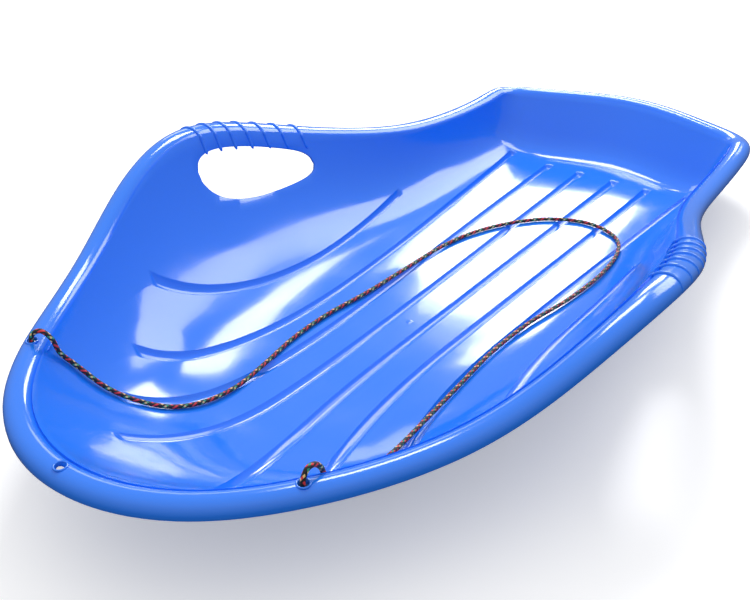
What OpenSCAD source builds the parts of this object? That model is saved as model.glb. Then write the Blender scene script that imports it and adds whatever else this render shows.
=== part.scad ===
// One-piece moulded snow sled with a braided tow rope.
// Frame: +X towards the nose, +Y to the left, +Z up. The origin is under the middle of the
// sled, on the snow. Every size is in millimetres.
//
// The pan is one smooth surface over a net of two numbers: u runs from the nose (0) to the
// back (1), and v from the centre line (0) to the rim (1). A closed B-spline is the rim's
// inner crease, and the eight channels are pressed down along lines of the net.

/* [Overall] */
// Length over the rim
sled_length = 900; // [780:10:1080]
// Width inside the rim, across the grips
grip_width = 496; // [410:2:600]
// Width inside the rim, behind the grips
waist_width = 314; // [280:2:380]
// Width inside the rim, at the back corners
back_width = 300; // [260:2:340]

/* [Heights above the floor of the pan] */
// Rim at the nose
nose_height = 92; // [74:1:112]
// Rim at the front end of the grips
grip_height = 152; // [126:1:184]
// Rim at the waist
waist_height = 68; // [56:1:90]
// Rim along the back wall
back_height = 66; // [54:1:88]

/* [Shell] */
// Thickness of the plastic
wall = 3; // [2.4:0.1:4]
// How far the rim rolls outwards
rim_width = 22; // [18:0.5:27]
// Height of the rim's rounded top above its inner crease
rim_rise = 4.5; // [3.5:0.5:6]
// How far the rim's outer flange hangs below the crease
rim_drop = 7; // [6:1:15]
// Extra width of the flange at the grips
grip_swell = 6; // [3:1:9]

/* [Channels that form the runners underneath] */
// Depth of a channel
channel_depth = 4; // [3:0.2:5]
// Width of a channel at its front end
channel_front = 14; // [11:1:17]
// Width of a channel at its back end
channel_back = 8; // [6.5:0.5:10]

/* [Hand slots] */
// Length of a hand slot
slot_length = 142; // [118:2:170]
// Height of a hand slot, which slopes with the rim
slot_height = 61; // [50:1:66]

/* [Nose holes] */
// Diameter of the three nose holes
hole_d = 8; // [6.6:0.2:9.6]
// Diameter of the raised collar round the middle hole
collar_d = 15; // [13:0.5:18]
// Length of the middle hole through its collar
hole_length = 5; // [4.5:0.5:6]
// Distance of each hole outside the rim's inner crease
hole_inset = 11; // [9:0.5:12]

/* [Tow rope] */
// Diameter of the braided rope
rope_d = 4; // [3.4:0.1:4.8]
// Diameter of the stopper knot at each end
knot_d = 11; // [9.5:0.5:12]

/* [Hidden] */
shell_blue = [0.13, 0.38, 0.92];
rope_navy = [0.08, 0.09, 0.16];

// Height of the pan's floor above the snow: the runners stand below it
floor_z = wall + channel_depth;
grip_y = grip_width / 2;
waist_y = waist_width / 2;
back_y = back_width / 2;
// The rim's crease runs from this X at the nose to that X at the back
nose_x = sled_length / 2 - rim_width;
crease_length = sled_length - 2 * rim_width;

// Control points of half the crease, from the nose to the middle of the back:
// share of the crease's length, half width, height above the floor
rim_points = [
    [-0.007, 0, nose_height],
    [0.014, 0.29 * grip_y, nose_height + 5],
    [0.080, 0.54 * grip_y, nose_height],
    [0.212, 0.80 * grip_y, nose_height],
    [0.312, 0.95 * grip_y, 0.88 * grip_height],
    [0.408, 1.01 * grip_y, grip_height + 2],
    [0.499, 0.94 * grip_y, 0.86 * grip_height],
    [0.592, 0.60 * grip_y + 0.37 * waist_y, 0.40 * grip_height + 0.60 * waist_height],
    [0.694, waist_y + 11, waist_height + 12],
    [0.806, waist_y, waist_height],
    [0.900, back_y + 1, back_height + 1],
    [0.948, back_y - 2, back_height + 8],
    [0.975, 0.61 * back_y, back_height],
    [1.013, 0, back_height - 2]];
rim_n = len(rim_points) - 1;
// Where the net's front and back corners lie on the rim
front_corner = 2;
back_corner = 10.6;

// The floor starts to rise to the nose at this share of the length, with this power
rise_start = 0.255;
rise_power = 2.3;
// The back wall's foot, as a share of the length, and how far its fold reaches either side
foot = 0.952;
fold_reach = 0.012;
// The bottom is flat across this share of the half width, and the bowl rises beyond it
flat_share = 0.12;
// Power of the bowl's rise at the nose, at the middle and at the back
bowls = [2.32, 3.2, 3.46];

// Channels, from the centre outwards: half spacing at the middle, how far the front end and
// the back end swing out, the power of the front swing, first and last u
channels = [
    [16, 36, 0, 5.0, 0.065, 0.87],
    [49, 49, -2, 4.0, 0.095, 0.88],
    [82, 55, 10, 3.0, 0.14, 0.895],
    [126, 57, 6, 2.1, 0.205, 0.66]];
// v that each channel's line runs out to at the nose
channel_nose_v = [0.36, 0.60, 0.76, 0.90];
channel_middle = 0.5;
// A channel's bottom is flat across this share of its width
channel_flat = 0.45;

// Rows of the net, closest where the channels end and at the foot of the back wall
rows = [0, 0.03, 0.065, 0.08, 0.095, 0.11, 0.125, 0.14, 0.155, 0.18, 0.205, 0.22, 0.26,
    0.30, 0.34, 0.38, 0.42, 0.46, 0.50, 0.55, 0.60, 0.645, 0.66, 0.71, 0.76, 0.81,
    0.855, 0.87, 0.88, 0.895, 0.92, 0.94, 0.955, 0.97, 0.985, 1];
row_n = len(rows) - 1;

// Mirrors control points past either end, so the rim is closed and symmetric
function rim_point(i) =
    i < 0 ? [rim_points[-i].x, -rim_points[-i].y, rim_points[-i].z]
    : i > rim_n ? [rim_points[2 * rim_n - i].x, -rim_points[2 * rim_n - i].y,
        rim_points[2 * rim_n - i].z]
    : rim_points[i];

// Point of the crease at parameter t, with x still a share of the length
function rim(t) =
    let (k = min(floor(t), rim_n - 1), f = t - k)
    (pow(1 - f, 3) * rim_point(k - 1)
        + (3 * pow(f, 3) - 6 * f * f + 4) * rim_point(k)
        + (3 * f + 3 * f * f - 3 * pow(f, 3) + 1) * rim_point(k + 1)
        + pow(f, 3) * rim_point(k + 2)) / 6;

// Direction of the crease at t, in millimetres and seen from above
function rim_tangent(t) =
    let (k = min(floor(t), rim_n - 1), f = t - k,
        d = (-pow(1 - f, 2) * rim_point(k - 1) + (3 * f * f - 4 * f) * rim_point(k)
            + (1 + 2 * f - 3 * f * f) * rim_point(k + 1) + f * f * rim_point(k + 2)) / 2,
        v = [-d.x * crease_length, d.y])
    v / norm(v);

nose_end = rim(0);
back_end = rim(rim_n);
front_side = rim(front_corner);
back_side = rim(back_corner);
function side_t(u) = front_corner + (back_corner - front_corner) * u;
function back_t(v) = rim_n - (rim_n - back_corner) * v;
// 0 before the fold and x beyond it, with a rounded bend of the given reach between
function bend(x, reach) = x < -reach ? 0 : x > reach ? x : pow(x + reach, 2) / (4 * reach);

// Point of the pan's surface, before any channel is pressed in
function pan(u, v) =
    let (s = rim(side_t(u)), a = rim(front_corner * v), b = rim(back_t(v)),
        c = nose_end.x + (back_end.x - nose_end.x) * (s.x - front_side.x)
            / (back_side.x - front_side.x),
        w = (c - nose_end.x) / (back_end.x - nose_end.x),
        x = (1 - v) * c + v * s.x
            + (1 - w) * (a.x - (1 - v) * nose_end.x - v * front_side.x)
            + w * (b.x - (1 - v) * back_end.x - v * back_side.x),
        y = v * s.y + (1 - w) * (a.y - v * front_side.y) + w * (b.y - v * back_side.y),
        rise = pow(max(0, (rise_start - c) / (rise_start - nose_end.x)), rise_power),
        fold = bend(c - foot, fold_reach) / (back_end.x - foot),
        centre_z = nose_end.z * rise + back_end.z * fold,
        bowl = bowls[0] * (1 - w) * (1 - 2 * w) + 4 * bowls[1] * w * (1 - w)
            + bowls[2] * w * (2 * w - 1),
        z = centre_z + (s.z - centre_z)
            * pow(max(0, v - flat_share) / (1 - flat_share), bowl))
    [nose_x - crease_length * x, y, floor_z + z];

function pan_both(u, v) = let (p = pan(u, abs(v))) [p.x, v < 0 ? -p.y : p.y, p.z];

// Unit normal of the pan, pointing up
function pan_normal(u, v) =
    let (e = 0.004, u0 = max(0, u - e), u1 = min(1, u + e),
        v0 = max(-1, v - e), v1 = min(1, v + e),
        n = cross(pan_both(u, v1) - pan_both(u, v0), pan_both(u1, v) - pan_both(u0, v)))
    n / norm(n) * sign(n.z);

// v of a channel's middle line at u
function channel_v(c, u) =
    let (q = channels[c], uu = min(max(u, q[4]), q[5]), m = channel_middle,
        y = q[0] + q[1] * pow(max(0, (m - uu) / (m - q[4])), q[3])
            + q[2] * pow(max(0, (uu - m) / (q[5] - m)), 2),
        v = y / rim(side_t(uu)).y)
    u >= q[4] ? v : v + (channel_nose_v[c] - v) * pow((q[4] - u) / q[4], 0.6);

// Half a channel's width at u, as a share of the pan's half width. In front of the first
// channel the lines draw together, so that they stay in order round the nose.
nose_pinch = 0.6;
function channel_half(u) =
    (channel_front + (channel_back - channel_front) * min(1, u / channel_middle))
        * (nose_pinch + (1 - nose_pinch) * min(1, u / channels[0][4]))
        / 2 / rim(side_t(u)).y;

// 1 along a channel's bottom, 0 beyond its ends
function channel_on(c, u) =
    let (q = channels[c]) (u > q[4] + 0.001 && u < q[5] - 0.001) ? 1 : 0;

// Lines of the net at u, for half the pan: [v, which channel is pressed in there or -1].
// grow widens the channels on the underside, where they are runners.
function half_lines(u, grow) =
    let (g = grow / rim(side_t(u)).y, h = channel_half(u),
        c = [for (i = [0:3]) channel_v(i, u)])
    concat([[0, -1]],
        [for (i = [0:3]) each concat(
            i == 0 ? [] : [[(c[i - 1] + c[i]) / 2, -1]],
            [[c[i] - h - g, -1], [c[i] - channel_flat * h - g, i],
                [c[i] + channel_flat * h + g, i], [c[i] + h + g, -1]])],
        let (a = c[3] + h + g)
        [for (k = [1:6]) [a + (1 - a) * k / 6, -1]]);

function lines(u, grow) =
    let (half = half_lines(u, grow), n = len(half) - 1)
    [for (i = [-n:n]) [(i < 0 ? -1 : 1) * half[abs(i)][0], half[abs(i)][1]]];

line_n = len(lines(0.5, 0)) - 1;
runner_grow = 0.5 * wall;

function top_row(u) =
    [for (l = lines(u, 0)) pan_both(u, l[0])
        - [0, 0, l[1] < 0 ? 0 : channel_depth * channel_on(l[1], u)]];
function under_row(u) =
    [for (l = lines(u, runner_grow)) pan_both(u, l[0]) - wall * pan_normal(u, l[0])
        - [0, 0, l[1] < 0 ? 0 : channel_depth * channel_on(l[1], u)]];

// Once round the rim: [row, line, rim parameter, side], left side first, then the back,
// then the right side and the nose
rim_loop = concat(
    [for (i = [0:row_n]) [i, line_n, side_t(rows[i]), 1]],
    [for (j = [line_n - 1:-1:1]) let (v = lines(1, 0)[j][0])
        [row_n, j, back_t(abs(v)), v < 0 ? -1 : 1]],
    [for (i = [row_n:-1:0]) [i, 0, side_t(rows[i]), -1]],
    [for (j = [1:line_n - 1]) let (v = lines(0, 0)[j][0])
        [0, j, front_corner * abs(v), v < 0 ? -1 : 1]]);
loop_n = len(rim_loop);

// Direction straight out from the rim, seen from above
function outward(t, side) = let (d = rim_tangent(t)) [d.y, -side * d.x, 0];

// The flange swells round the grips, whose middle lies at this rim parameter
grip_t = 5.8;
grip_spread = 1.1;
function swell(t) = grip_swell * exp(-pow((t - grip_t) / grip_spread, 2));

// The rolled rim's section: distance outwards and height from the crease. Its ellipse is
// centred this far below the crease.
roll_drop = 5;
function roll(t, angle, inset) =
    let (half = rim_width / 2)
    [half + (half - inset) * cos(angle) + swell(t) * (1 + cos(angle)) / 2,
        -roll_drop + (roll_drop + rim_rise - inset) * sin(angle)];
roll_outer = [148, 115, 80, 45, 0];
roll_inner = [0, 50, 95, 130];
function flange_edge(t, inset) = [rim_width - inset + swell(t), -rim_drop];

function section(t) = concat(
    [for (a = roll_outer) roll(t, a, 0)],
    [flange_edge(t, 0), flange_edge(t, wall)],
    [for (a = roll_inner) roll(t, a, wall)]);
section_n = len(roll_outer) + 2 + len(roll_inner);

grid_w = line_n + 1;
grid_count = grid_w * (row_n + 1);
top_points = [for (u = rows) each top_row(u)];
under_points = [for (u = rows) each under_row(u)];
roll_points = [for (q = rim_loop)
    let (e = top_points[q[0] * grid_w + q[1]], o = outward(q[2], q[3]))
    for (s = section(q[2])) e + o * s[0] + [0, 0, s[1]]];

function top_index(q) = q[0] * grid_w + q[1];
function ring_index(k, s) =
    let (q = rim_loop[k % loop_n])
    s == 0 ? top_index(q)
    : s == section_n + 1 ? grid_count + top_index(q)
    : 2 * grid_count + (k % loop_n) * section_n + s - 1;

shell_faces = concat(
    [for (i = [0:row_n - 1], j = [0:line_n - 1])
        let (a = i * grid_w + j, b = a + 1, c = a + grid_w, d = c + 1)
        each [[a, c, b], [b, c, d]]],
    [for (i = [0:row_n - 1], j = [0:line_n - 1])
        let (a = grid_count + i * grid_w + j, b = a + 1, c = a + grid_w, d = c + 1)
        each [[a, b, c], [b, d, c]]],
    [for (k = [0:loop_n - 1], s = [0:section_n])
        let (a = ring_index(k, s), b = ring_index(k + 1, s),
            c = ring_index(k, s + 1), d = ring_index(k + 1, s + 1))
        each [[a, b, c], [b, d, c]]]);

// A hand slot's outline, as shares of its length and height: a closed B-spline
slot_points = [[0.48, 0.39], [0.38, 0.50], [0.20, 0.46], [-0.04, 0.30], [-0.29, 0.08],
    [-0.45, -0.08], [-0.51, -0.26], [-0.49, -0.44], [-0.36, -0.50], [-0.11, -0.49],
    [0.10, -0.45], [0.31, -0.33], [0.44, -0.15], [0.51, 0.13]];
slot_steps = 4;
function slot_point(i, f) =
    let (n = len(slot_points), a = slot_points[i % n], b = slot_points[(i + 1) % n],
        c = slot_points[(i + 2) % n], d = slot_points[(i + 3) % n])
    (pow(1 - f, 3) * a + (3 * pow(f, 3) - 6 * f * f + 4) * b
        + (3 * f + 3 * f * f - 3 * pow(f, 3) + 1) * c + pow(f, 3) * d) / 6;

// Middle of the hand slots, this far below the grips
slot_x = 16;
slot_below = 53;
slot_z = floor_z + grip_height - slot_below;

module moulding() {
    polyhedron(points = concat(top_points, under_points, roll_points), faces = shell_faces);
}

module hand_slots() {
    translate([slot_x, 0, slot_z]) rotate([90, 0, 0])
        linear_extrude(height = 2 * sled_length, center = true)
            polygon([for (i = [0:len(slot_points) - 1], k = [0:slot_steps - 1])
                let (p = slot_point(i, k / slot_steps)) [p.x * slot_length, p.y * slot_height]]);
}

// Nose holes: rim parameter and side
nose_holes = [[front_corner, 1], [front_corner, -1], [0, 1]];
function hole_at(q) =
    let (v = q[0] / front_corner, p = pan_both(0, q[1] * v), o = outward(q[0], q[1]))
    [p.x + o.x * hole_inset, p.y + o.y * hole_inset, p.z + rim_rise];
collar_rise = 0.8;
// The drills reach this far below the rim's top
drill_depth = 1.3 * hole_length;

module collar()
    translate(hole_at([0, 1]) + [0, 0, collar_rise - hole_length])
        cylinder(h = hole_length, d = collar_d, $fn = 48);

module drills()
    for (q = nose_holes) translate(hole_at(q) - [0, 0, drill_depth])
        cylinder(h = 2 * drill_depth, d = hole_d, $fn = 48);

module sled_shell() color(shell_blue) difference() {
    union() {
        moulding();
        collar();
    }
    drills();
    hand_slots();
}

// Route of the rope, from the right-hand knot round the pan to the left-hand one
route = [
    [357, -143, 94], [357, -143, 106], [355, -140, 112], [351, -135, 113], [347, -130, 105],
    [344, -128, 91], [335, -123, 75], [322, -107, 51.5], [304, -91, 33], [282, -75, 20.5],
    [254, -65, 14], [220, -62, 10.5], [180, -66, 10], [135, -72, 10], [85, -72, 10],
    [30, -65, 10], [-30, -61, 10], [-90, -57, 9.5], [-137, -46, 9.5], [-180, -23, 9.5],
    [-212, 8, 9.5], [-227, 48, 9.5], [-212, 88, 11.5], [-174, 110, 15.5], [-120, 117, 17],
    [-65, 111, 14.5], [-10, 100, 13], [50, 96, 12], [110, 100, 12.5], [165, 105, 15],
    [212, 110, 18.5], [252, 114, 25], [286, 120, 41], [313, 130, 65], [330, 138, 88],
    [338, 142, 104], [345, 143, 112], [352, 143, 113], [357, 143, 106], [357, 143, 94]];
route_n = len(route) - 1;
rope_sides = 8;
rings_per_span = 2;

function route_point(i) =
    i < 0 ? 2 * route[0] - route[1]
    : i > route_n ? 2 * route[route_n] - route[route_n - 1] : route[i];
// Catmull-Rom curve through the route's points
function rope_at(i, f) =
    let (a = route_point(i - 1), b = route_point(i), c = route_point(i + 1),
        d = route_point(i + 2))
    (2 * b + (c - a) * f + (2 * a - 5 * b + 4 * c - d) * f * f
        + (3 * b - a - 3 * c + d) * pow(f, 3)) / 2;
rope_line = concat(
    [for (i = [0:route_n - 1], k = [0:rings_per_span - 1]) rope_at(i, k / rings_per_span)],
    [route[route_n]]);
rope_n = len(rope_line) - 1;
function unit(v) = v / norm(v);
function rope_dir(i) = unit(rope_line[min(i + 1, rope_n)] - rope_line[max(i - 1, 0)]);
// Sideways direction at each ring, carried along the rope without twist
function carried(i, n) =
    let (d = rope_dir(i), m = unit(n - (n * d) * d))
    i == rope_n ? [m] : concat([m], carried(i + 1, m));
rope_normals = carried(0, [0, 1, 0]);

module tow_rope() color(rope_navy) polyhedron(
    points = [for (i = [0:rope_n])
        let (n = rope_normals[i], b = cross(rope_dir(i), n))
        for (k = [0:rope_sides - 1]) rope_line[i]
            + rope_d / 2 * (cos(360 * k / rope_sides) * n + sin(360 * k / rope_sides) * b)],
    faces = concat(
        [for (i = [0:rope_n - 1], k = [0:rope_sides - 1])
            let (a = i * rope_sides + k, b = i * rope_sides + (k + 1) % rope_sides,
                c = a + rope_sides, d = b + rope_sides)
            each [[a, c, b], [b, c, d]]],
        [[for (k = [0:rope_sides - 1]) k]],
        [[for (k = [rope_sides - 1:-1:0]) rope_n * rope_sides + k]]));

// A stopper knot under the rim, with the rope's short end below it
knot_tail = 15;
knot_gap = 0.3;
// The rim's underside falls away by this much across a hole
hole_fall = 1;
module knot(side) {
    h = hole_at([front_corner, side]);
    z = h.z - wall - hole_fall - sqrt(pow(knot_d / 2 + knot_gap, 2) - pow(hole_d / 2, 2));
    translate([h.x, h.y, z]) {
        sphere(d = knot_d, $fn = 32);
        translate([0, 0, -knot_tail]) cylinder(h = knot_tail, d = rope_d, $fn = 24);
    }
}
module knot_left() color(rope_navy) knot(1);
module knot_right() color(rope_navy) knot(-1);

sled_shell();
tow_rope();
knot_left();
knot_right();
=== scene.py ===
# %% [markdown]
# # A moulded snow sled with a tow rope
# The real object is one thin sheet of blue polyethylene with a rolled rim, two hand slots,
# eight pressed channels and a braided rope knotted under the nose. The CAD frame comes in
# first, and every piece made here rides on its one body.

# %% The frame
import math
import bmesh
import bpy
import numpy as np
from mathutils import Matrix, Vector


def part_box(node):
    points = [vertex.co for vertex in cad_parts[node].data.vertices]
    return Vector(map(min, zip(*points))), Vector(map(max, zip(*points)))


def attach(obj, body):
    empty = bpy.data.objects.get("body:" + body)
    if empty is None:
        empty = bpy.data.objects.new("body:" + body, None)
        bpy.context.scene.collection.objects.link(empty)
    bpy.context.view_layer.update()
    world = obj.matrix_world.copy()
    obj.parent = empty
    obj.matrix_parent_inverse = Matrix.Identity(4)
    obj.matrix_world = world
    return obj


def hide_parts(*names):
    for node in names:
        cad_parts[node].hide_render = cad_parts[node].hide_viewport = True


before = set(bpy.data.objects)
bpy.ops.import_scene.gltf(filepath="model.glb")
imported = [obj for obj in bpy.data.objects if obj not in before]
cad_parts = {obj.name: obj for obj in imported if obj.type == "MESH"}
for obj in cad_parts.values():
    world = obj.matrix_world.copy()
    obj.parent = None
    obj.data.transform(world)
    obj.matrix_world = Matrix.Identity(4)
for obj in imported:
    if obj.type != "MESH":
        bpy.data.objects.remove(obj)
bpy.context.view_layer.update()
MM = 0.001
print("nodes:", sorted(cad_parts))

# %% [markdown]
# ## The camera
# The camera looks down on the sled from in front of its nose and to its left. A lens a
# little longer than normal keeps the perspective gentle. Its three axes are written as the
# columns of a matrix: right, up and backwards.

# %% Camera
SENSOR = 36
LENS = 48.96
camera_right = Vector((-0.6107, 0.7911, -0.0354)).normalized()
camera_back = Vector((0.6591, 0.5326, 0.5310))
camera_back = (camera_back - camera_back.dot(camera_right) * camera_right).normalized()
camera_up = camera_back.cross(camera_right)
camera = bpy.data.objects.new("camera", bpy.data.cameras.new("camera"))
camera.data.sensor_width = SENSOR
camera.data.lens = LENS
camera.data.clip_start = 0.01
camera.matrix_world = Matrix.Translation((0.7104, 0.4946, 0.5523)) @ Matrix(
    (camera_right, camera_up, camera_back)).transposed().to_4x4()
bpy.context.scene.collection.objects.link(camera)
bpy.context.scene.camera = camera
bpy.context.scene.view_settings.view_transform = "Standard"
print("camera at", [round(c, 3) for c in camera.location])

# %% [markdown]
# ## Small helpers
# Every piece starts as a bmesh and becomes an object in one place, so that smooth shading,
# the body it rides on and the material slot are never forgotten.

# %% From a bmesh to a piece
def piece(name, bm, material, sharp=35):
    mesh = bpy.data.meshes.new(name)
    bm.to_mesh(mesh)
    bm.free()
    obj = bpy.data.objects.new(name, mesh)
    bpy.context.scene.collection.objects.link(obj)
    mesh.materials.append(material)
    smooth(obj, sharp)
    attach(obj, "root")
    print(name, "has", len(mesh.polygons), "faces")
    return obj


def smooth(obj, sharp):
    mesh = obj.data
    mesh.polygons.foreach_set("use_smooth", [True] * len(mesh.polygons))
    mesh.set_sharp_from_angle(angle=math.radians(sharp))


# %% [markdown]
# A rope, a knot and a grip ridge are all tubes along a line. A flat grid is rolled up round
# the line: its long side follows the line, its short side goes round. The frame that turns
# with the line is carried from point to point, so that the tube doesn't twist. The grid
# brings a UV map that runs along and round the tube, which the braid's pattern needs.

# %% A tube along a line
def unit(v):
    return v / np.linalg.norm(v, axis=-1, keepdims=True)


def carried_frames(line, first_normal):
    ahead = unit(np.gradient(line, axis=0))
    normals = [np.array(first_normal, float)]
    for d in ahead:
        n = normals[-1] - normals[-1].dot(d) * d
        normals.append(n / np.linalg.norm(n))
    normals = np.array(normals[1:])
    return normals, np.cross(ahead, normals)


def tube(line, radius, sides, first_normal=(0, 0, 1)):
    """radius(share along, share round) gives the tube's radius, and 0 at an end closes it."""
    normals, sideways = carried_frames(line, first_normal)
    rings = len(line) - 1
    bm = bmesh.new()
    bm.loops.layers.uv.new("UVMap")
    bmesh.ops.create_grid(bm, x_segments=rings, y_segments=sides, size=0.5, calc_uvs=True)
    for v in bm.verts:
        along, round_it = v.co.x + 0.5, v.co.y + 0.5
        i = round(along * rings)
        a = 2 * math.pi * round_it
        r = radius(along, round_it)
        v.co = line[i] + r * (math.cos(a) * normals[i] + math.sin(a) * sideways[i])
    bmesh.ops.remove_doubles(bm, verts=bm.verts, dist=1e-6)
    bmesh.ops.recalc_face_normals(bm, faces=bm.faces)
    return bm


# %% [markdown]
# Colours are written as sRGB hex values, as a painter would pick them, and one function
# turns them to the linear values that the shader works with. Another adds a node with its
# settings and its links. A socket goes by its name, or by _ and its number where several
# sockets share one name.

# %% Colours and nodes
def linear(hex_colour):
    parts = [int(hex_colour[i:i + 2], 16) / 255 for i in (1, 3, 5)]
    return [c / 12.92 if c <= 0.04045 else ((c + 0.055) / 1.055) ** 2.4 for c in parts] + [1]


def node(tree, kind, settings=None, **inputs):
    made = tree.nodes.new(kind)
    for key, value in (settings or {}).items():
        setattr(made, key, value)
    for key, value in inputs.items():
        socket = made.inputs[int(key[1:])] if key[0] == "_" else made.inputs[key.replace("_", " ")]
        if isinstance(value, bpy.types.NodeSocket):
            tree.links.new(value, socket)
        else:
            socket.default_value = value
    return made


def new_material(name):
    material = bpy.data.materials.new(name)
    material.use_nodes = True
    tree = material.node_tree
    tree.nodes.clear()
    shader = node(tree, "ShaderNodeBsdfPrincipled")
    node(tree, "ShaderNodeOutputMaterial", Surface=shader.outputs["BSDF"])
    return material, tree, shader

# %% [markdown]
# ## The rope's line
# The tow rope is a 4 mm braided cord. It comes up through the right-hand hole in the nose,
# bends over the rim, lies across the pan in one wide loop and goes down through the left-hand
# hole. A smooth curve goes through points chosen along that path, in millimetres.

# %% The rope's line
ROPE_D = 4 * MM
ROUTE = np.array([
    [357, -143, 94], [357, -143, 106], [355, -140, 112], [351, -135, 113], [347, -130, 105],
    [344, -128, 91], [335, -123, 75], [322, -107, 51.5], [304, -91, 33], [282, -75, 20.5],
    [254, -65, 14], [220, -62, 10.5], [180, -66, 10], [135, -72, 10], [85, -72, 10],
    [30, -65, 10], [-30, -61, 10], [-90, -57, 9.5], [-137, -46, 9.5], [-180, -23, 9.5],
    [-212, 8, 9.5], [-227, 48, 9.5], [-212, 88, 11.5], [-174, 110, 15.5], [-120, 117, 17],
    [-65, 111, 14.5], [-10, 100, 13], [50, 96, 12], [110, 100, 12.5], [165, 105, 15],
    [212, 110, 18.5], [252, 114, 25], [286, 120, 41], [313, 130, 65], [330, 138, 88],
    [338, 142, 104], [345, 143, 112], [352, 143, 113], [357, 143, 106], [357, 143, 94]]) * MM


def smooth_line(points, step):
    """A Catmull-Rom curve through the points, with points about one step apart."""
    ends = np.vstack([2 * points[0] - points[1], points, 2 * points[-1] - points[-2]])
    f = np.linspace(0, 1, 60, endpoint=False)[:, None]
    spans = []
    for a, b, c, d in zip(ends, ends[1:], ends[2:], ends[3:]):
        spans.append((2 * b + (c - a) * f + (2 * a - 5 * b + 4 * c - d) * f ** 2
                      + (3 * b - a - 3 * c + d) * f ** 3) / 2)
    dense = np.vstack(spans + [points[-1:]])
    run = np.concatenate([[0], np.cumsum(np.linalg.norm(np.diff(dense, axis=0), axis=1))])
    even = np.linspace(0, run[-1], round(run[-1] / step) + 1)
    return np.column_stack([np.interp(even, run, dense[:, k]) for k in range(3)]), run[-1]


rope_line, rope_length = smooth_line(ROUTE, 1.0 * MM)
print(f"the rope is {rope_length:.3f} m long")

# %% [markdown]
# ## Braided polyester cord
# A braid is strands that wind both ways round the cord and pass over and under each other.
# Two families of slanting strands are read from the UV map, and a checker of the two says
# which family is on top. Most strands are near-black navy; single red, green and cream ones
# show as the flecks. The weave is matt, with a little sheen from the fibre.

# %% The braid's material
STRANDS = 6
PITCH = 17 * MM
COLOURS = {"navy": "#0B0D16", "red": "#F0333A", "green": "#0FA37C", "cream": "#FFD98C"}


def braid_material(length):
    material, tree, shader = new_material("braided polyester cord")
    uv = node(tree, "ShaderNodeUVMap").outputs["UV"]
    split = node(tree, "ShaderNodeSeparateXYZ", Vector=uv)
    turns = node(tree, "ShaderNodeMath", {"operation": "MULTIPLY"},
                 _0=split.outputs["X"], _1=length / PITCH * STRANDS).outputs[0]
    round_it = node(tree, "ShaderNodeMath", {"operation": "MULTIPLY"},
                    _0=split.outputs["Y"], _1=STRANDS).outputs[0]
    families = []
    for operation in ("ADD", "SUBTRACT"):
        position = node(tree, "ShaderNodeMath", {"operation": operation},
                        _0=turns, _1=round_it).outputs[0]
        index = node(tree, "ShaderNodeMath", {"operation": "FLOOR"}, _0=position).outputs[0]
        strand = node(tree, "ShaderNodeMath", {"operation": "FLOORED_MODULO"},
                      _0=index, _1=STRANDS).outputs[0]
        wave = node(tree, "ShaderNodeMath", {"operation": "PINGPONG"},
                    _0=position, _1=0.5).outputs[0]
        families.append((index, strand, wave))
    both = node(tree, "ShaderNodeMath", {"operation": "ADD"},
                _0=families[0][0], _1=families[1][0]).outputs[0]
    on_top = node(tree, "ShaderNodeMath", {"operation": "FLOORED_MODULO"},
                  _0=both, _1=2).outputs[0]
    shades = []
    for (index, strand, wave), flecks in zip(families, (("red", "green"), ("cream", "red"))):
        colour = linear(COLOURS["navy"])
        for number, fleck in zip((1, 4), flecks):
            here = node(tree, "ShaderNodeMath", {"operation": "COMPARE"},
                        _0=strand, _1=number, _2=0.1).outputs[0]
            colour = node(tree, "ShaderNodeMix", {"data_type": "RGBA"},
                          _0=here, _6=colour, _7=linear(COLOURS[fleck])).outputs[2]
        shades.append(colour)
    colour = node(tree, "ShaderNodeMix", {"data_type": "RGBA"},
                  _0=on_top, _6=shades[0], _7=shades[1]).outputs[2]
    height = node(tree, "ShaderNodeMix", {"data_type": "FLOAT"},
                  _0=on_top, _2=families[0][2], _3=families[1][2]).outputs[0]
    bump = node(tree, "ShaderNodeBump", Height=height, Strength=0.6, Distance=0.4 * MM)
    tree.links.new(colour, shader.inputs["Base Color"])
    tree.links.new(bump.outputs["Normal"], shader.inputs["Normal"])
    shader.inputs["Roughness"].default_value = 0.62
    shader.inputs["Sheen Weight"].default_value = 0.15
    return material


rope_material = braid_material(rope_length)

# %% The rope
def round_radius(along, round_it):
    return ROPE_D / 2


rope = piece("tow_rope_braid", tube(rope_line, round_radius, 14, (0, 1, 0)),
             rope_material)
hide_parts("tow_rope")

# %% [markdown]
# ## The stopper knots
# Each end is tied in a figure that can't pull up through the hole. A trefoil, the closed
# form of the overhand knot, drawn tight, looks the same from outside. Its short end is cut
# off close below, melted to a small bead so that the braid doesn't fray.

# %% The knots
KNOT_D = 11 * MM
KNOT_LOOP_R = 6 * MM
TAIL_D = 4.3 * MM
TAIL_CUT = 5 * MM


def knot(name, node_name):
    low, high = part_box(node_name)
    centre = np.array([(low.x + high.x) / 2, (low.y + high.y) / 2, high.z - KNOT_D / 2])
    t = np.linspace(0, 2 * math.pi, 121)
    loops = np.column_stack([np.sin(t) + 2 * np.sin(2 * t), np.cos(t) - 2 * np.cos(2 * t),
                             -1.5 * np.sin(3 * t)])
    loops *= (KNOT_D - ROPE_D) / 2 / 3
    knot_obj = piece(name, tube(centre + loops, round_radius, 12), knot_material)
    tail_line = np.column_stack([np.full(13, centre[0]), np.full(13, centre[1]),
                                 np.linspace(centre[2] - 2 * MM, low.z + TAIL_CUT, 13)])

    def tail_radius(along, round_it):
        return TAIL_D / 2 * min(1, 3 * math.sqrt(max(0, 1 - along)))

    tail = piece(name + "_end", tube(tail_line, tail_radius, 12, (1, 0, 0)),
                 knot_material)
    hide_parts(node_name)
    return knot_obj, tail


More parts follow.
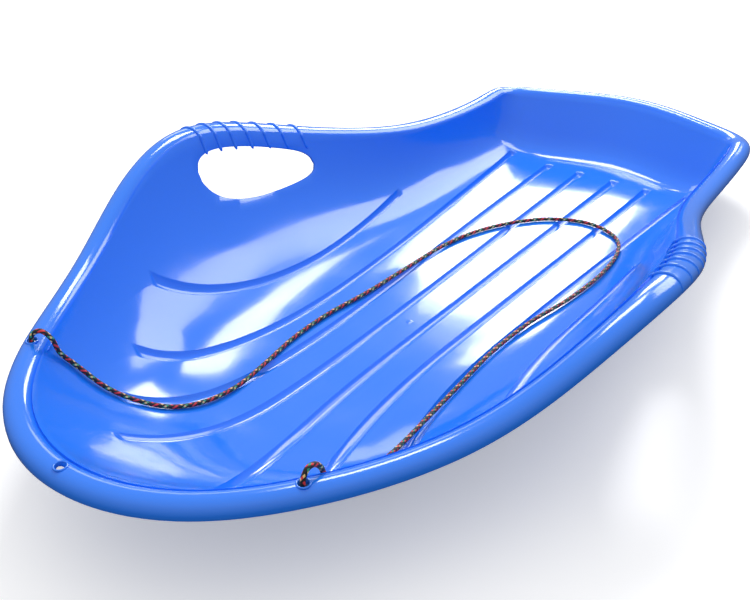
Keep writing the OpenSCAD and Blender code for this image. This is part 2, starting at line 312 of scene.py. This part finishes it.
knot_material = braid_material(2 * math.pi * KNOT_LOOP_R)
knots = [*knot("left_knot", "knot_left"), *knot("right_knot", "knot_right")]

# %% [markdown]
# ## The rim's line
# The whole pan hangs from its rim. The rim's inner crease is a closed B-spline through a few
# control points: how far back each lies as a share of the length, its half width and its
# height. Seen as an engineer would, it is one smooth batten bent round the sled.

# %% The crease
GRIP_Y, WAIST_Y, BACK_Y = 248, 157, 150
NOSE_Z, GRIP_Z, WAIST_Z, BACK_Z = 92, 152, 68, 66
NOSE_X, CREASE_LENGTH, FLOOR_Z = 428, 856, 7
RIM = np.array([
    [-0.007, 0, NOSE_Z], [0.014, 0.29 * GRIP_Y, NOSE_Z + 5], [0.080, 0.54 * GRIP_Y, NOSE_Z],
    [0.212, 0.80 * GRIP_Y, NOSE_Z], [0.312, 0.95 * GRIP_Y, 0.88 * GRIP_Z],
    [0.408, 1.01 * GRIP_Y, GRIP_Z + 2], [0.499, 0.94 * GRIP_Y, 0.86 * GRIP_Z],
    [0.592, 0.60 * GRIP_Y + 0.37 * WAIST_Y, 0.40 * GRIP_Z + 0.60 * WAIST_Z],
    [0.694, WAIST_Y + 11, WAIST_Z + 12], [0.806, WAIST_Y, WAIST_Z],
    [0.900, BACK_Y + 1, BACK_Z + 1], [0.948, BACK_Y - 2, BACK_Z + 8],
    [0.975, 0.61 * BACK_Y, BACK_Z], [1.013, 0, BACK_Z - 2]])
RIM_N = len(RIM) - 1
FRONT_CORNER, BACK_CORNER = 2, 10.6
MIRROR = np.array([1, -1, 1])
RIM_ALL = np.vstack([RIM[1] * MIRROR, RIM, RIM[-2] * MIRROR, RIM[-3] * MIRROR])


def rim(t):
    """Points of the crease at the parameters t: share of the length, half width, height."""
    t = np.asarray(t, float)
    k = np.clip(np.floor(t), 0, RIM_N - 1).astype(int)
    f = (t - k)[..., None]
    a, b, c, d = (RIM_ALL[k + i] for i in range(4))
    return ((1 - f) ** 3 * a + (3 * f ** 3 - 6 * f ** 2 + 4) * b
            + (3 * f + 3 * f ** 2 - 3 * f ** 3 + 1) * c + f ** 3 * d) / 6


def outward(t, side):
    """Direction straight out from the rim, seen from above."""
    d = rim(np.asarray(t) + 0.01) - rim(np.maximum(np.asarray(t) - 0.01, 0))
    along = np.stack([-d[..., 0] * CREASE_LENGTH, d[..., 1]], -1)
    along = unit(along)
    return np.stack([along[..., 1], -side * along[..., 0], 0 * along[..., 0]], -1)


def side_t(u):
    return FRONT_CORNER + (BACK_CORNER - FRONT_CORNER) * u


def back_t(v):
    return RIM_N - (RIM_N - BACK_CORNER) * v


print("crease runs", CREASE_LENGTH, "mm, half width up to", round(rim(5.0)[1], 1), "mm")

# %% [markdown]
# ## The pan
# The pan is a net of two numbers: u runs from the nose to the back, v from the centre line
# to the rim. Each point blends the four edges of the net, and the bottom stays flat in the
# middle and bowls up to the rim, with its own power at the nose, the middle and the back.
# The floor sweeps up to the nose and folds up into a wall at the back, because a moulded
# pan has no corners that snow could pack into.

# %% The pan's surface
RISE_START, RISE_POWER = 0.255, 2.3
FOOT, FOLD_REACH = 0.952, 0.018
FLAT_SHARE = 0.12
BOWLS = [2.32, 3.2, 3.46]
nose_end, back_end = rim(0), rim(RIM_N)
front_side, back_side = rim(FRONT_CORNER), rim(BACK_CORNER)


def bend(x, reach):
    return np.where(x < -reach, 0, np.where(x > reach, x, (x + reach) ** 2 / (4 * reach)))


def pan(u, v):
    side = np.where(v < 0, -1, 1)
    u, v = np.broadcast_arrays(np.asarray(u, float), np.abs(v))
    s, a, b = rim(side_t(u)), rim(FRONT_CORNER * v), rim(back_t(v))
    c = nose_end[0] + (back_end[0] - nose_end[0]) * (
        s[..., 0] - front_side[0]) / (back_side[0] - front_side[0])
    w = (c - nose_end[0]) / (back_end[0] - nose_end[0])
    x = ((1 - v) * c + v * s[..., 0]
         + (1 - w) * (a[..., 0] - (1 - v) * nose_end[0] - v * front_side[0])
         + w * (b[..., 0] - (1 - v) * back_end[0] - v * back_side[0]))
    y = (v * s[..., 1] + (1 - w) * (a[..., 1] - v * front_side[1])
         + w * (b[..., 1] - v * back_side[1]))
    rise = np.maximum(0, (RISE_START - c) / (RISE_START - nose_end[0])) ** RISE_POWER
    fold = bend(c - FOOT, FOLD_REACH) / (back_end[0] - FOOT)
    centre_z = nose_end[2] * rise + back_end[2] * fold
    bowl = (BOWLS[0] * (1 - w) * (1 - 2 * w) + 4 * BOWLS[1] * w * (1 - w)
            + BOWLS[2] * w * (2 * w - 1))
    z = centre_z + (s[..., 2] - centre_z) * (
        np.maximum(0, v - FLAT_SHARE) / (1 - FLAT_SHARE)) ** bowl
    return np.stack([NOSE_X - CREASE_LENGTH * x, side * y, FLOOR_Z + z], -1)


print("floor at the middle:", pan(0.5, 0).round(1))

# %% [markdown]
# ## The channels
# Eight channels are pressed into the bottom; underneath they are the runners. They lie in
# four mirrored pairs that fan out towards the nose. A channel's section is a shallow arc
# with a crisp edge on either side, and the net's lines follow it, close together.
# Each row of CHANNELS holds one channel: half spacing in the middle, how far its front and
# its back swing out, the power of the front swing, and the first and last u.

# %% Channels along the net's lines
CHANNEL_DEPTH, CHANNEL_FRONT, CHANNEL_BACK = 4, 14, 8
CHANNELS = np.array([
    [16, 36, 0, 5.0, 0.065, 0.87], [49, 49, -2, 4.0, 0.095, 0.88],
    [82, 55, 10, 3.0, 0.14, 0.895], [126, 57, 6, 2.1, 0.205, 0.66]])
CHANNEL_NOSE_V = [0.36, 0.60, 0.76, 0.90]
CHANNEL_MIDDLE = 0.5
NOSE_PINCH = 0.6
END_SLOPE = 0.007
ACROSS = np.array([0.12, 0.32, 0.52, 0.72, 0.90, 1.0, 1.06])
SIDE_LINES = 18
GAP_LINES = [6, 2, 2, 2]


def ease(x):
    x = np.clip(x, 0, 1)
    return x * x * (3 - 2 * x)


def channel_v(c, u):
    spread, swing, tail, power, start, stop = CHANNELS[c]
    uu = min(max(u, start), stop)
    y = (spread + swing * max(0, (CHANNEL_MIDDLE - uu) / (CHANNEL_MIDDLE - start)) ** power
         + tail * max(0, (uu - CHANNEL_MIDDLE) / (stop - CHANNEL_MIDDLE)) ** 2)
    v = y / rim(side_t(uu))[1]
    if u >= start:
        return v
    return v + (CHANNEL_NOSE_V[c] - v) * ((start - u) / start) ** 0.6


def channel_half(u):
    width = CHANNEL_FRONT + (CHANNEL_BACK - CHANNEL_FRONT) * min(1, u / CHANNEL_MIDDLE)
    pinch = NOSE_PINCH + (1 - NOSE_PINCH) * min(1, u / CHANNELS[0][4])
    return width * pinch / 2 / rim(side_t(u))[1]


def half_lines(u):
    """v and pressed depth of each line from the centre out, in one row of the net."""
    h = channel_half(u)
    lines, depths = [0.0], [0.0]
    for c in range(4):
        start, stop = CHANNELS[c][4:]
        reach = ease((u - start) / END_SLOPE) * ease((stop - u) / END_SLOPE)
        middle = channel_v(c, u)
        last, inner = lines[-1], middle - ACROSS[-1] * h
        for k in range(GAP_LINES[c]):
            lines.append(last + (inner - last) * (k + 1) / (GAP_LINES[c] + 1))
            depths.append(0)
        for share in np.concatenate([-ACROSS[::-1], ACROSS]):
            lines.append(middle + share * h)
            depths.append(CHANNEL_DEPTH * reach * max(0, 1 - share ** 2))
    last = lines[-1]
    lines += [last + (1 - last) * k / SIDE_LINES for k in range(1, SIDE_LINES + 1)]
    depths += [0] * SIDE_LINES
    return np.array(lines), np.array(depths)


def row_places():
    """Rows of the net, close together where a channel ends and where the back folds up."""
    rows = list(np.linspace(0, 1, 131))
    close = np.linspace(-0.001, END_SLOPE + 0.001, 7)
    fine = [start + close for start in CHANNELS[:, 4]]
    fine += [stop - close for stop in CHANNELS[:, 5]]
    fine.append(np.linspace(0.925, 0.985, 25))
    fine = np.unique(np.concatenate(fine))
    rows = [r for r in rows if np.abs(fine - r).min() > 0.003]
    return np.unique(np.concatenate([rows, fine]))


rows = row_places()
net = [half_lines(u) for u in rows]
line_n = 2 * (len(net[0][0]) - 1)
print(len(rows), "rows and", line_n + 1, "lines")

# %% [markdown]
# ## Moulded polyethylene
# The shell is high-density polyethylene, coloured right through and cast against a polished
# mould. That gives the eye a saturated blue and sharp but slightly wavy reflections; the real
# sheet's soft glow at thin edges is not made here. The waviness comes from shrinkage as the
# sheet cools: long swells of a few centimetres and a finer ripple.

# %% The plastic's material
def plastic_material():
    material, tree, shader = new_material("moulded polyethylene, gloss")
    place = node(tree, "ShaderNodeTexCoord").outputs["Object"]
    swell = node(tree, "ShaderNodeTexNoise", Vector=place, Scale=1 / 0.11, Detail=1.0).outputs[0]
    ripple = node(tree, "ShaderNodeTexNoise", Vector=place, Scale=1 / 0.028, Detail=2.0).outputs[0]
    first = node(tree, "ShaderNodeBump", Height=swell, Strength=1.0, Distance=0.9 * MM)
    second = node(tree, "ShaderNodeBump", Height=ripple, Strength=1.0, Distance=0.10 * MM,
                  Normal=first.outputs["Normal"])
    scuffs = node(tree, "ShaderNodeTexNoise", Vector=place, Scale=1 / 0.06, Detail=4.0).outputs[0]
    rough = node(tree, "ShaderNodeMapRange", Value=scuffs, _1=0.35, _2=0.7, _3=0.10, _4=0.17)
    tree.links.new(second.outputs["Normal"], shader.inputs["Normal"])
    tree.links.new(rough.outputs[0], shader.inputs["Roughness"])
    shader.inputs["Base Color"].default_value = linear("#2080FF")
    shader.inputs["IOR"].default_value = 1.54
    shader.inputs["Coat Weight"].default_value = 0.25
    shader.inputs["Coat Roughness"].default_value = 0.04
    return material


plastic = plastic_material()

# %% [markdown]
# ## The skin
# A flat grid has one vertex for each crossing of the net. Each is moved onto the pan's
# surface and pressed down where a channel runs. The skin is only the top surface; its
# thickness comes later from one Solidify modifier, as a real sheet has the same wall all over.

# %% The pan's skin
skin = bmesh.new()
bmesh.ops.create_grid(skin, x_segments=len(rows) - 1, y_segments=line_n, size=0.5)
for name in ("rim_t", "side"):
    skin.verts.layers.float.new(name)
crease_layer = skin.verts.layers.float_vector.new("crease")
out_layer = skin.verts.layers.float_vector.new("out")
t_layer, side_layer = (skin.verts.layers.float[n] for n in ("rim_t", "side"))

skin.verts.ensure_lookup_table()
index = np.array([(round((v.co.x + 0.5) * (len(rows) - 1)), round((0.5 - v.co.y) * line_n))
                  for v in skin.verts])
line = index[:, 1] - line_n // 2
u_of = rows[index[:, 0]]
v_of = np.array([net[i][0][abs(j)] for i, j in zip(index[:, 0], line)]) * np.sign(line)
depth_of = np.array([net[i][1][abs(j)] for i, j in zip(index[:, 0], line)])
points = pan(u_of, v_of)
points[:, 2] -= depth_of
for v, p in zip(skin.verts, points * MM):
    v.co = p
print("the pan's skin has", len(skin.faces), "faces")

# %% [markdown]
# ## The rolled rim
# The sheet's edge rolls outwards over an elliptical section and ends in a short flange. In
# Blender that is the skin's boundary extruded again and again: each new ring of vertices
# moves to the next point of the section. The flange swells round the grips, so that a
# gloved hand has more to hold.

# %% The rim, extruded ring by ring
RIM_WIDTH, RIM_RISE, RIM_DROP, ROLL_DROP = 22, 4.5, 7, 5
GRIP_SWELL, GRIP_T, GRIP_SPREAD = 6, 5.8, 1.1
ROLL_ANGLES = [162, 148, 134, 121, 108, 96, 84, 72, 60, 46, 32, 16, 0]
FLANGE = [-5.7, -6.3, -RIM_DROP]


def swell(t):
    return GRIP_SWELL * np.exp(-((t - GRIP_T) / GRIP_SPREAD) ** 2)


def section(t, ring):
    """How far out from the crease, and how high above it, the section's ring lies."""
    if ring < len(ROLL_ANGLES):
        a = math.radians(ROLL_ANGLES[ring])
        half = RIM_WIDTH / 2
        return (half + half * math.cos(a) + swell(t) * (1 + math.cos(a)) / 2,
                -ROLL_DROP + (ROLL_DROP + RIM_RISE) * math.sin(a))
    return RIM_WIDTH + swell(t), FLANGE[ring - len(ROLL_ANGLES)]


edge_verts = [v for v in skin.verts if v.is_boundary]
skin.verts.index_update()
for v in edge_verts:
    i, j = index[v.index][0], line[v.index]
    on_side = abs(j) == line_n // 2
    share = abs(v_of[v.index])
    t = side_t(u_of[v.index]) if on_side else (
        FRONT_CORNER * share if i == 0 else back_t(share))
    v[t_layer], v[side_layer] = t, -1.0 if j < 0 else 1.0
    v[crease_layer] = v.co
    v[out_layer] = outward(t, v[side_layer])
ring_edges = [e for e in skin.edges if e.is_boundary]
rim_faces = []
for ring in range(len(ROLL_ANGLES) + len(FLANGE)):
    new = bmesh.ops.extrude_edge_only(skin, edges=ring_edges)["geom"]
    for v in (g for g in new if isinstance(g, bmesh.types.BMVert)):
        out, up = section(v[t_layer], ring)
        v.co = v[crease_layer] + v[out_layer] * (out * MM) + Vector((0, 0, up * MM))
    rim_faces += [g for g in new if isinstance(g, bmesh.types.BMFace)]
    ring_edges = [g for g in new if isinstance(g, bmesh.types.BMEdge) and g.is_boundary]
bmesh.ops.recalc_face_normals(skin, faces=skin.faces)
if sum(f.normal.z for f in skin.faces) < 0:
    bmesh.ops.reverse_faces(skin, faces=skin.faces)
print("with the rim it has", len(skin.faces), "faces")

# %% [markdown]
# ## Slots and holes
# Hand slots and rope holes are cut from the skin before it gets its thickness. Faces inside
# an outline are deleted, then the ragged edge is pulled onto the outline within the surface.
# This keeps clean rows of faces round each opening, which a Boolean would not.

# %% A cutter for the skin
def inside(outline, points):
    a, b = outline, np.roll(outline, -1, axis=0)
    p = points[:, None]
    crosses = (a[:, 1] > p[..., 1]) != (b[:, 1] > p[..., 1])
    with np.errstate(divide="ignore", invalid="ignore"):
        x = a[:, 0] + (p[..., 1] - a[:, 1]) * (b[:, 0] - a[:, 0]) / (b[:, 1] - a[:, 1])
    return (crosses & (p[..., 0] < x)).sum(1) % 2 == 1


def nearest(outline, point):
    a, ab = outline, np.roll(outline, -1, axis=0) - outline
    f = np.clip(((point - a) * ab).sum(1) / (ab * ab).sum(1), 0, 1)
    on = a + f[:, None] * ab
    return on[np.linalg.norm(on - point, axis=1).argmin()]


def cut_opening(bm, faces, outline, seen):
    """Opens bm inside an outline; seen are the two axes that the outline is drawn in."""
    deep = 3 - sum(seen)
    centres = np.array([[f.calc_center_median()[k] for k in seen] for f in faces])
    gone = [f for f, hit in zip(faces, inside(outline, centres)) if hit]
    edge = {v for f in gone for v in f.verts}
    normals = {v: v.normal.copy() for v in edge}
    bmesh.ops.delete(bm, geom=gone, context="FACES")
    moved = 0
    for v in edge:
        if not v.is_valid or not v.is_boundary:
            continue
        target = nearest(outline, np.array([v.co[k] for k in seen]))
        shift = [target[n] - v.co[k] for n, k in enumerate(seen)]
        n = normals[v]
        for d, k in zip(shift, seen):
            v.co[k] += d
            v.co[deep] -= n[k] * d / n[deep]
        moved += 1
    return moved


# %% Hand slots
SLOT_LENGTH, SLOT_HEIGHT, SLOT_X, SLOT_Z = 142, 61, 16, 106
SLOT = np.array([
    [0.48, 0.39], [0.38, 0.50], [0.20, 0.46], [-0.04, 0.30], [-0.29, 0.08], [-0.45, -0.08],
    [-0.51, -0.26], [-0.49, -0.44], [-0.36, -0.50], [-0.11, -0.49], [0.10, -0.45],
    [0.31, -0.33], [0.44, -0.15], [0.51, 0.13]]) * [SLOT_LENGTH, SLOT_HEIGHT]


def closed_spline(points, steps):
    rings = [np.roll(points, -k, axis=0)[:, None] for k in range(4)]
    f = np.linspace(0, 1, steps, endpoint=False)[None, :, None]
    a, b, c, d = rings
    return (((1 - f) ** 3 * a + (3 * f ** 3 - 6 * f ** 2 + 4) * b
             + (3 * f + 3 * f ** 2 - 3 * f ** 3 + 1) * c + f ** 3 * d) / 6).reshape(-1, 2)


slot_outline = (closed_spline(SLOT, 12) + [SLOT_X, SLOT_Z]) * MM
rim_set = set(rim_faces)
for side in (-1, 1):
    wall = [f for f in skin.faces if f.is_valid and f not in rim_set
            and side * f.calc_center_median().y > 0.12]
    print("slot edge vertices:", cut_opening(skin, wall, slot_outline, (0, 2)))

# %% Rope holes in the nose
HOLE_D, HOLE_INSET = 8, 11
FINE_EDGE, HALVINGS = 1.5 * MM, 4
holes = []
for t, side in ((FRONT_CORNER, 1), (FRONT_CORNER, -1), (0, 1)):
    p = pan(0, side * t / FRONT_CORNER) + outward(t, side) * HOLE_INSET
    holes.append((p + [0, 0, RIM_RISE]) * MM)
ring_angles = np.linspace(0, 2 * math.pi, 40, endpoint=False)
for hole in holes:
    centre = Vector(hole)
    for _ in range(HALVINGS):
        near = [f for f in skin.faces
                if (f.calc_center_median() - centre).length < 1.6 * HOLE_D * MM]
        coarse = {e for f in near for e in f.edges if e.calc_length() > FINE_EDGE}
        bmesh.ops.subdivide_edges(skin, edges=list(coarse), cuts=1, use_grid_fill=True)
    near = [f for f in skin.faces if (f.calc_center_median() - centre).length < HOLE_D * MM]
    circle = np.column_stack([np.cos(ring_angles), np.sin(ring_angles)]) * HOLE_D / 2 * MM
    print("hole edge vertices:", cut_opening(skin, near, circle + hole[:2], (0, 1)))

# %% [markdown]
# ## Thickness
# Solidify gives the skin its 3 mm wall, grown downwards so that the top stays where it is.
# A small bevel then rounds the sheet's cut edges, since no moulded edge is truly sharp.

# %% The shell
WALL = 3 * MM
shell = piece("shell", skin, plastic, 180)
thick = shell.modifiers.new("wall", "SOLIDIFY")
thick.thickness, thick.offset = WALL, -1
thick.use_quality_normals = True
edges = shell.modifiers.new("edges", "BEVEL")
edges.width, edges.segments = 0.7 * MM, 2
edges.limit_method, edges.angle_limit = "ANGLE", math.radians(60)
edges.harden_normals = False
bpy.context.view_layer.update()
baked = bpy.data.meshes.new_from_object(
    shell.evaluated_get(bpy.context.evaluated_depsgraph_get()))
shell.modifiers.clear()
shell.data = baked
smooth(shell, 38)
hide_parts("sled_shell")
baked.calc_loop_triangles()
print("the shell has", len(baked.loop_triangles), "triangles")

# %% [markdown]
# ## Grip ridges
# Seven thin ridges run over the rim above each slot, slanted so that fingers lock between
# them. Each is a thin round bead, half sunk in the plastic, that starts at the slot's top
# edge, runs over the rim and fades out on the flange.

# %% The ridges
RIDGE_X = [64, 46, 28, 9, -11, -32, -54]
RIDGE_R = 1.8 * MM
UP_THE_WALL = [0.959, 0.969, 0.979, 0.988, 0.996]
SLANT_INSIDE, SLANT_OVER, SLANT_OUTSIDE = 2, 5, 10
ts = np.linspace(FRONT_CORNER, BACK_CORNER, 2000)
crease_x = NOSE_X - CREASE_LENGTH * rim(ts)[:, 0]


def rim_path(x, side):
    """Points over the rim's section, from the wall under the crease to the flange."""
    path = []
    for v, lag in zip(UP_THE_WALL, np.linspace(0, SLANT_INSIDE, len(UP_THE_WALL))):
        t = np.interp(-(x + lag), -crease_x, ts)
        path.append(pan((t - FRONT_CORNER) / (BACK_CORNER - FRONT_CORNER), side * v))
    last = len(ROLL_ANGLES) + 1
    for ring in range(1, last):
        lag = np.interp(ring, [0, last / 2, last], [SLANT_INSIDE, SLANT_OVER, SLANT_OUTSIDE])
        t = float(np.interp(-(x + lag), -crease_x, ts))
        out, up = section(t, ring)
        p = rim(t)
        crease = np.array([NOSE_X - CREASE_LENGTH * p[0], side * p[1], FLOOR_Z + p[2]])
        path.append(crease + outward(t, side) * out + [0, 0, up])
    return np.array(path) * MM


def ridge_radius(along, round_it):
    return RIDGE_R * min(1, math.sqrt(max(0, along)) * 4, math.sqrt(max(0, 1 - along)) * 1.6)


ridges = bmesh.new()
for side in (-1, 1):
    for x in RIDGE_X:
        path, _ = smooth_line(rim_path(x, side), 1.2 * MM)
        part = tube(path, ridge_radius, 12, (1, 0, 0))
        scratch = bpy.data.meshes.new("ridge")
        part.to_mesh(scratch)
        part.free()
        ridges.from_mesh(scratch)
        bpy.data.meshes.remove(scratch)
piece("grip_ridges", ridges, plastic)

# %% [markdown]
# ## Hole collars and the gate mark
# Each nose hole has a raised lip, so that the rope runs over a rounded edge. A small round
# section is spun once round the hole. The gate mark is where the melt entered the mould: a
# flat disc on the floor, smoothed off after moulding.

# %% Collars and gate mark
COLLAR_R, LIP_R = 4.7 * MM, 0.8 * MM
collars = bmesh.new()
for hole in holes:
    lip = bmesh.ops.create_circle(collars, cap_ends=False, radius=LIP_R, segments=16,
                                  matrix=Matrix.Translation(Vector(hole) + Vector((COLLAR_R, 0, 0)))
                                  @ Matrix.Rotation(math.pi / 2, 4, "X"))
    loop = list(lip["verts"]) + list({e for v in lip["verts"] for e in v.link_edges})
    bmesh.ops.spin(collars, geom=loop, cent=hole, axis=(0, 0, 1), angle=2 * math.pi,
                   steps=48, use_merge=True)
bmesh.ops.remove_doubles(collars, verts=collars.verts, dist=1e-6)
bmesh.ops.recalc_face_normals(collars, faces=collars.faces)
piece("hole_collars", collars, plastic)
gate = bmesh.new()
bmesh.ops.create_uvsphere(gate, u_segments=32, v_segments=12, radius=1,
                          matrix=Matrix.Translation((0.046, 0, FLOOR_Z * MM))
                          @ Matrix.Diagonal((0.0035, 0.0035, 0.0006, 1)))
piece("gate_mark", gate, plastic)

# %% [markdown]
# ## Studio
# Gloss shows what stands round it, so the light is a pale sky that darkens to the horizon
# and a few soft boxes. Each box stands where the pan's floor, its front wall or its rim
# mirrors it to the camera: long clean highlights tell the eye that this is polished plastic.
# The floor is matt paper with a faint glow, so that it shows white with a soft shadow. It
# doesn't light the underside, which stays dark and gives depth.

# %% Floor
floor_bm = bmesh.new()
bmesh.ops.create_grid(floor_bm, x_segments=1, y_segments=1, size=30)
floor_mesh = bpy.data.meshes.new("studio_floor")
floor_bm.to_mesh(floor_mesh)
floor_bm.free()
floor = bpy.data.objects.new("studio_floor", floor_mesh)
bpy.context.scene.collection.objects.link(floor)
floor.visible_diffuse = floor.visible_glossy = False
floor_material, tree, shader = new_material("matt white paper")
shader.inputs["Base Color"].default_value = linear("#FFFFFF")
shader.inputs["Roughness"].default_value = 0.9
shader.inputs["Specular IOR Level"].default_value = 0.1
shader.inputs["Emission Color"].default_value = linear("#FFFFFF")
shader.inputs["Emission Strength"].default_value = 0.3
floor_mesh.materials.append(floor_material)

# %% A sky that darkens towards the floor
world = bpy.data.worlds.new("studio")
bpy.context.scene.world = world
world.use_nodes = True
sky = world.node_tree
direction = node(sky, "ShaderNodeTexCoord").outputs["Generated"]
height = node(sky, "ShaderNodeSeparateXYZ", Vector=direction).outputs["Z"]
shade = node(sky, "ShaderNodeMapRange", Value=height, _1=-0.4, _2=0.9, _3=0.10, _4=0.92).outputs[0]
sky.links.new(shade, sky.nodes["Background"].inputs["Strength"])
sky.nodes["Background"].inputs["Color"].default_value = linear("#FFFFFF")


# %% Soft boxes
def soft_box(name, azimuth, elevation, distance, aim, size, watts, lights_matt=False):
    a, e = math.radians(azimuth), math.radians(elevation)
    away = Vector((math.cos(e) * math.cos(a), math.cos(e) * math.sin(a), math.sin(e)))
    light = bpy.data.lights.new(name, "AREA")
    light.shape = "RECTANGLE"
    light.size, light.size_y = size
    light.energy = watts
    obj = bpy.data.objects.new(name, light)
    obj.matrix_world = Matrix.Translation(Vector(aim) + distance * away) @ (
        -away).to_track_quat("-Z", "Y").to_matrix().to_4x4()
    bpy.context.scene.collection.objects.link(obj)
    obj.visible_diffuse = lights_matt
    print(name, watts, "W")


soft_box("floor_box", -153, 28.5, 2.2, (-0.1, 0, 0), (0.74, 0.5), 14)
soft_box("rim_box", -129, 22, 2.2, (0, -0.26, 0.16), (0.7, 0.45), 2.5)
soft_box("wall_box", 165, 37, 2.2, (0.2, -0.13, 0.04), (1.1, 0.8), 16)
soft_box("high_box", -137, 60, 2.4, (-0.37, 0, 0), (0.9, 0.7), 26, lights_matt=True)
